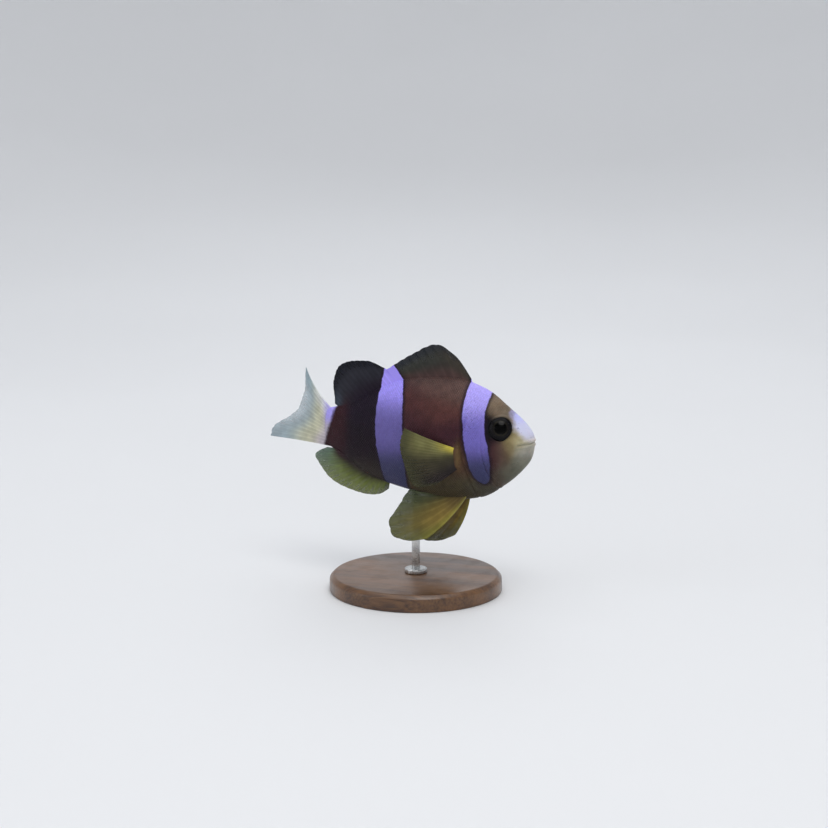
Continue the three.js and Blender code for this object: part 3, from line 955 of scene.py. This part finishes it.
TAIL_LOOK_AND_HIGHLIGHT = (
    ("aca0ee", 0.8, 0.22, 0.3, 0.12),
    ("b9aebc", 0.25, 0.2, 0.35, 0.12),
    ("c6c3a6", 0.5, 0.45, 0.5, 0.2),
    ("96a8b0", 0.5, 0.9, 0.7, 0.3),
    # The fin is pale here too. This near-white patch on the upper lobe's edge is a painted highlight,
    # where light from above catches the fin.
    ("dfe2e4", 0.95, 0.42, 0.12, 0.16),
)
PECTORAL_LOOK = (
    ("dfcd4c", 0.05, 0.22, 0.12, 0.2),
    ("7d7a4c", 0.12, 0.6, 0.2, 0.3),
    ("3c3829", 0.5, 0.6, 0.25, 0.4),
    ("282123", 0.9, 0.4, 0.25, 0.4),
    ("45452f", 0.35, 1.0, 0.6, 0.12),
)
PELVIC_LOOK = (
    ("846f37", 0.4, 0.5, 0.35, 0.35),
    ("938c3e", 0.0, 0.6, 0.1, 0.5),
    ("575b31", 0.3, 0.95, 0.4, 0.25),
    ("525e43", 0.85, 0.85, 0.35, 0.4),
    ("453a2d", 0.5, 0.12, 0.6, 0.2),
    ("3c362a", 1.0, 0.45, 0.2, 0.5),
)
FIN_SAMPLES = 8  # steps across from one ray to the next
FIN_STEP = 1e-3  # the step across and out over which a fin's slope is taken
FIN_WAVE = 0.16  # how far the membrane waves to either side
RAY_JOINTS = 270  # sets how closely a soft ray's joints follow one another
UNMARKED = -9.0  # well outside every bar and pale part


# How far the body's colour has given way to a fin's own, at places out along its rays.
def at_once(out, fields):
    return np.ones(len(out))


def slowly(out, fields):
    return ease(out, 0.12, 0.62)


def past_tail_edge(out, fields):
    return ease(fields["tail"], -0.4, 0.6)


def make_fin(
    name, node, slot, surface, look, rays, solid, rows=56,
    root=FIN_ROOT, notch=0.01, join=at_once, spiny=False, marked=False,
):
    """A fin of `rays` rays in a thin membrane. `solid` gives how solid the membrane looks at a
    place across and out, `root` its thickness where it starts and `notch` how deep its edge is cut
    between rays. A marked fin carries on the body's bars."""
    bm = flat_grid((rays - 1) * FIN_SAMPLES, rows)
    bmesh.ops.solidify(bm, geom=bm.faces, thickness=1)
    mesh = to_mesh(bm, name)
    across, out, layer = points_of(mesh).T
    across, out = np.clip(across, 0, 1), np.clip(out, 0, 1)
    side = np.abs(layer) - 0.5

    phase = across * (rays - 1)
    off = np.abs(phase - np.round(phase))
    split = 0 if spiny else 0.2 * ease(out, 0.35, 0.95)
    ridge = hill(off - split, 0.19 - 0.07 * out) * (1 - 0.55 * out)
    trim = out * (1 - notch * (2 * off) ** 2)

    def at(u, v):
        point = surface(u, v)
        point[..., 1] += FIN_WAVE * v**2 * np.sin(7.3 * u + 2.1 * v) * np.minimum(1, 6 * v)
        return point

    middle = at(across, trim)
    ends = [np.clip(across + step, 0, 1) for step in (-FIN_STEP, FIN_STEP)]
    tips = [np.clip(trim + step, 0, 1) for step in (-FIN_STEP, FIN_STEP)]
    sweep = place(*at(ends[1], trim).T) - place(*at(ends[0], trim).T)
    ray = place(*at(across, tips[1]).T) - place(*at(across, tips[0]).T)
    normal = unit(np.cross(sweep, ray))
    film = MEMBRANE * (1 - 0.35 * out)
    thick = film + (root - MEMBRANE) * (1 - out) ** 3 + (SPINE_RISE if spiny else RAY_RISE) * ridge
    move_points(mesh, place(*middle.T) + normal * (side * thick * MM)[:, None])

    fields = markings(middle[:, 0], middle[:, 2])
    own = join(out, fields)[:, None]
    fields["ground"] = (1 - own) * fields["ground"] + own * blended(look, across, out)
    for mark in ("snout", "tail") if marked else ("bar", "snout", "tail"):
        fields[mark] = np.full(len(out), UNMARKED)
    fields["ray"] = ridge
    fields["solid"] = np.clip(solid(across, out) + 0.16 * ridge, 0, 1)
    fields["joint"] = out * (0 if spiny else RAY_JOINTS)
    add_fields(mesh, fields)
    closed(mesh)
    show(mesh, FIN, (node,))


def fin_material():
    material, w = new_material("fin")
    marks = marked_colour(w)
    grain = w.group(SKIN_GRAIN, {"Size": 1.4})
    ray = w.field("ray")
    tone = w.spread(ray, 0.15, 0.8, 0.92, 1.1)
    colour = w.mix(1.0, marks["Colour"], tone, "MULTIPLY")
    joints = w.times(w.spread(w.math("SINE", w.field("joint")), 0.2, 0.9), ray)
    colour = w.mix(w.times(joints, 0.06), colour, DARK_EDGE)
    solid = w.math("MAXIMUM", w.field("solid"), marks["Pale"])
    height = w.math("MULTIPLY_ADD", joints, -0.8, grain["Height"])
    w.finish({
        "Base Color": colour,
        "Alpha": solid,
        "Roughness": w.spread(grain["Gloss"], 0.35, 0.65, 0.32, 0.48),
        "Specular IOR Level": 0.12,
        "Coat Weight": 0.05,
        "Coat Roughness": 0.25,
        "Normal": w.bump(height, 0.02),
    })
    return material


FIN = fin_material()


def fading(near, far):
    """How solid a fin looks that thins from its root to its margin."""
    return lambda across, out: near + (far - near) * ease(out, 0.15, 1.0)


def tail_solid(across, out):
    """The tail fin is clear towards its rear edge, between the two lobes."""
    lobes = 0.75 * hill(across - 1, 0.16) + 0.4 * hill(across, 0.2)
    return 0.98 - 0.62 * ease(out, 0.42, 1.0) * (1 - lobes)


def make_fins():
    """The fins, each by its own name and that of its node."""
    dark, yellow, white = "fin_dark", "fin_yellow", "fin_white"
    spiny = {"rays": 10, "solid": fading(0.98, 0.86), "notch": 0.018, "spiny": True, "marked": True}
    soft = {"rays": 16, "solid": fading(0.98, 0.92), "marked": True}
    anal = {"rays": 15, "solid": fading(0.95, 0.7)}
    tail = {"rays": 15, "solid": tail_solid, "rows": 64, "root": 1.0, "join": past_tail_edge}
    pectorals = {"rays": 19, "solid": fading(0.98, 0.84), "root": 0.8}
    pelvics = {"rays": 7, "solid": fading(0.95, 0.78), "root": 0.9, "notch": 0.012}
    make_fin("spiny_dorsal_fin", "dorsal_fin_spiny", dark, SPINY_DORSAL, SPINY_LOOK, join=slowly, **spiny)
    make_fin("soft_dorsal_fin", "dorsal_fin_soft", dark, SOFT_DORSAL, SOFT_LOOK, join=slowly, **soft)
    make_fin("anal_fin_rays", "anal_fin", yellow, ANAL, ANAL_LOOK, join=slowly, **anal)
    make_fin("caudal_fin", "tail_fin", white, tail_surface, TAIL_LOOK_AND_HIGHLIGHT, **tail)
    for side, hand, down, turn_out in (("left", 1, 16, 3), ("right", -1, 0, 0)):
        name, node = f"pectoral_{side}", f"pectoral_fin_{side}"
        make_fin(name, node, yellow, pectoral(hand), PECTORAL_LOOK, **pectorals)
        name, node = f"pelvic_{side}", f"pelvic_fin_{side}"
        make_fin(name, node, yellow, pelvic(hand, down, turn_out), PELVIC_LOOK, **pelvics)


# ---------------- eyes

PUPIL = 1.8  # its radius
RIM = 2.7  # the iris darkens from this radius out
LENS_RISE = 0.04  # how far the lens bulges, in shares of the eye's depth


def eye_material():
    material, w = new_material("eye")
    radius = w.field("radius")  # in millimetres from the eye's axis
    streaks = w.noise(0.3, 3.0)
    iris = w.mix(w.spread(streaks, 0.35, 0.65), opaque("0e0d10"), opaque("191617"))
    bronze = w.mix(w.spread(streaks, 0.3, 0.7), opaque("3a341e"), opaque("1d201b"))
    inner, outer = w.spread(radius, PUPIL, 1.95), w.spread(radius, 1.95, 2.5, 1.0, 0.0)
    tint = w.spread(w.field("around"), 0.0, 1.0, 0.15, 0.42)
    colour = w.mix(w.times(w.times(inner, outer), tint), iris, bronze)
    colour = w.mix(w.spread(radius, PUPIL - 0.1, PUPIL + 0.1, 1.0, 0.0), colour, BLACK)
    colour = w.mix(w.spread(radius, RIM, 3.3), colour, opaque("050508"))
    w.finish({
        "Base Color": colour,
        "Roughness": w.spread(radius, 1.9, 2.6, 0.06, 0.14),
        "Specular IOR Level": 0.03,
        "Coat Weight": 0.12,
        "Coat Roughness": 0.03,
        "Normal": w.bump(streaks, 0.006, 0.3),
    })
    return material


def make_eye(side, hand, material):
    bm = bmesh.new()
    bmesh.ops.create_uvsphere(bm, u_segments=72, v_segments=48, radius=1)
    mesh = to_mesh(bm, f"eyeball_{side}")
    right, up, out = points_of(mesh).T
    radius = np.hypot(right, up)
    lens = LENS_RISE * hill(radius, 0.6) * (out > 0)
    size = np.array([EYE_RADIUS, EYE_DEPTH, EYE_RADIUS]) - 0.02
    local = np.stack([right, hand * (out + lens), up], -1) * size * MM
    middle = place(EYE_ALONG, hand * EYE_SIDE, EYE_UP)
    turn = np.array(Matrix.Rotation(-hand * EYE_TURN, 3, "Z") @ Matrix.Rotation(hand * EYE_TILT, 3, "X"))
    move_points(mesh, local @ turn.T + middle)
    around = np.abs(up) / np.maximum(radius, 1e-6)
    add_fields(mesh, {"radius": radius * EYE_RADIUS + 2 * (out < 0), "around": around})
    closed(mesh)
    show(mesh, material, (f"eye_{side}",))


# ---------------- stand


def wood_material():
    material, w = new_material("walnut")
    lie = {"Vector": w.place(), "Rotation": (0, 0, 0.35), "Scale": (0.06, 1.0, 0.6)}
    drawn = w.add("Mapping", lie).outputs[0]
    sway = w.times(w.noise(14.0, 2.0, drawn), 0.012)
    shift = w.add("CombineXYZ", {"Y": sway}).outputs[0]
    swayed = w.add("VectorMath", {0: drawn, 1: shift}, operation="ADD").outputs[0]
    figure = w.noise(4.5, 2.0, swayed)
    fibres = w.noise(0.5, 4.0, swayed)
    grain = w.math("MULTIPLY_ADD", fibres, 0.45, w.times(figure, 0.55))
    colour = w.mix(w.spread(grain, 0.32, 0.68), opaque("3a2417"), opaque("74502f"))
    pores = w.spread(w.noise(0.3, 2.0, swayed), 0.6, 0.72)
    colour = w.mix(w.times(pores, 0.5), colour, opaque("20130c"))
    w.finish({
        "Base Color": colour,
        "Roughness": w.spread(w.noise(6.0, 3.0), 0.4, 0.7, 0.32, 0.44),
        "Coat Weight": 0.25,
        "Coat Roughness": 0.18,
        "Normal": w.bump(w.math("MULTIPLY_ADD", pores, -1.0, grain), 0.04, 0.6),
    })
    return material


def steel_material():
    material, w = new_material("brushed_steel")
    drawn = w.add("Mapping", {"Vector": w.place(), "Scale": (1.0, 1.0, 14.0)}).outputs[0]
    lines = w.noise(0.9, 3.0, drawn)
    cloudy = w.noise(3.0)
    w.finish({
        "Base Color": w.mix(w.spread(cloudy, 0.3, 0.7), opaque("b4b6b8"), opaque("d6d6d4")),
        "Metallic": 1.0,
        "Roughness": w.spread(lines, 0.35, 0.65, 0.2, 0.36),
        "Normal": w.bump(lines, 0.012, 0.5),
    })
    return material


def turned(name, profile, steps, bevel=0.0):
    """A solid of revolution about Z, with its sharp edges rounded. Profile points are (radius,
    height) in metres and start and end on the axis."""
    bm = bmesh.new()
    verts = [bm.verts.new((radius, 0, height)) for radius, height in profile]
    edges = [bm.edges.new(pair) for pair in zip(verts, verts[1:])]
    turn = {"cent": (0, 0, 0), "axis": (0, 0, 1), "angle": math.tau, "use_merge": True}
    bmesh.ops.spin(bm, geom=verts + edges, steps=steps, **turn)
    bmesh.ops.remove_doubles(bm, verts=bm.verts, dist=1e-6)
    bmesh.ops.recalc_face_normals(bm, faces=bm.faces)
    if bevel:
        sharp = [e for e in bm.edges if e.is_manifold and e.calc_face_angle() > math.radians(35)]
        bmesh.ops.bevel(
            bm, geom=sharp, offset=bevel, affect="EDGES", segments=4, profile=0.5, material=-1
        )
    return to_mesh(bm, name)


BASE_CHAMFER = 0.0012


def size_of(node):
    """The node's radius and the heights of its ends."""
    low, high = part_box(node)
    return (high.x - low.x) / 2, low.z, high.z


def make_stand():
    wide, low, high = size_of("stand_base")
    edge = [(wide, low), (wide, high - BASE_CHAMFER), (wide - BASE_CHAMFER, high)]
    base = turned("walnut_base", [(0, low), *edge, (0, high)], 128, 0.0004)
    show(base, wood_material(), ("stand_base",))
    steel = steel_material()
    for name, node, steps, bevel in (
        ("steel_collar", "stand_collar", 64, 0.0003),
        ("steel_rod", "stand_rod", 48, 0.0002),
    ):
        wide, low, high = size_of(node)
        mesh = turned(name, [(0, low), (wide, low), (wide, high), (0, high)], steps, bevel)
        show(mesh, steel, (node,))


# ---------------- stage, lights and camera


FISH_MIDDLE = Vector((0, 0, 0.05))


def stage_material():
    material, w = new_material("stage_card")
    colour = w.mix(w.spread(w.noise(400.0), 0.3, 0.7), opaque("dddee0"), opaque("dfe0e2"))
    w.finish({"Base Color": colour, "Roughness": 0.85})
    return material


def make_stage():
    """A round floor that sweeps up into a wall, the same from every side."""
    flat, sweep, tall = 0.6, 1.6, 2.2
    turns = np.linspace(0, math.pi / 2, 12)
    arc = [(flat + sweep * math.sin(turn), sweep * (1 - math.cos(turn))) for turn in turns]
    mesh = turned("stage_floor", [(0, 0), (0.4, 0), *arc, (flat + sweep, tall)], 64)
    add_mesh(mesh, stage_material())


def softbox(name, at, size, power, colour):
    light = bpy.data.lights.new(name, "AREA")
    light.shape = "DISK"
    light.size = size
    light.energy = power
    light.color = colour
    lamp = add_object(light)
    lamp.location = at
    lamp.rotation_mode = "QUATERNION"
    lamp.rotation_quaternion = (FISH_MIDDLE - Vector(at)).to_track_quat("-Z", "Y")
    lamp.visible_camera = False


def light_stage():
    # Where each hangs, how wide it is in metres, its power and its colour.
    softbox("ceiling_light", (0, 0, 1.9), 2.6, 19.0, (1.0, 1.0, 1.0))
    softbox("key_light", (0.3, -0.45, 0.85), 0.5, 2.6, (1.0, 0.98, 0.95))
    softbox("fill_light", (-0.8, -0.6, 0.5), 0.7, 1.2, (0.9, 0.94, 1.0))
    softbox("back_light", (-0.2, 0.8, 0.8), 0.6, 1.8, (0.95, 0.97, 1.0))
    world = bpy.data.worlds.new("pale_room")
    world.use_nodes = True
    background = world.node_tree.nodes["Background"]
    background.inputs["Color"].default_value = (0.92, 0.95, 1.0, 1.0)
    background.inputs["Strength"].default_value = 0.42
    bpy.context.scene.world = world
    bpy.context.scene.view_settings.view_transform = "Standard"


CAMERA_TURN = math.radians(18)  # round to the fish's front
CAMERA_RISE = math.radians(8)
CAMERA_AWAY = 0.38
CAMERA_AIM = Vector((-0.00115, 0.00169, 0.05296))
CAMERA_LENS = 55.35


def place_camera():
    data = bpy.data.cameras.new("camera")
    data.sensor_width = 36
    data.lens = CAMERA_LENS
    data.clip_start = 0.01
    camera = add_object(data)
    level = math.cos(CAMERA_RISE)
    back = Vector((math.sin(CAMERA_TURN) * level, -math.cos(CAMERA_TURN) * level, math.sin(CAMERA_RISE)))
    camera.location = CAMERA_AIM + back * CAMERA_AWAY
    camera.rotation_mode = "QUATERNION"
    camera.rotation_quaternion = (-back).to_track_quat("-Z", "Y")
    bpy.context.scene.camera = camera


# ---------------- the model

SIDES = (("left", 1), ("right", -1))

make_skin()
rng = np.random.default_rng(7)
for side, hand in SIDES:
    cheek_nodes = (f"gill_cover_{side}", "head")
    make_scales(f"cheek_scales_{side}", hand, False, cheek_nodes, rng)
    make_scales(f"flank_scales_{side}", hand, True, ("trunk",), rng)
make_fins()
eye_finish = eye_material()
for side, hand in SIDES:
    make_eye(side, hand, eye_finish)
make_stand()
make_stage()
light_stage()
place_camera()
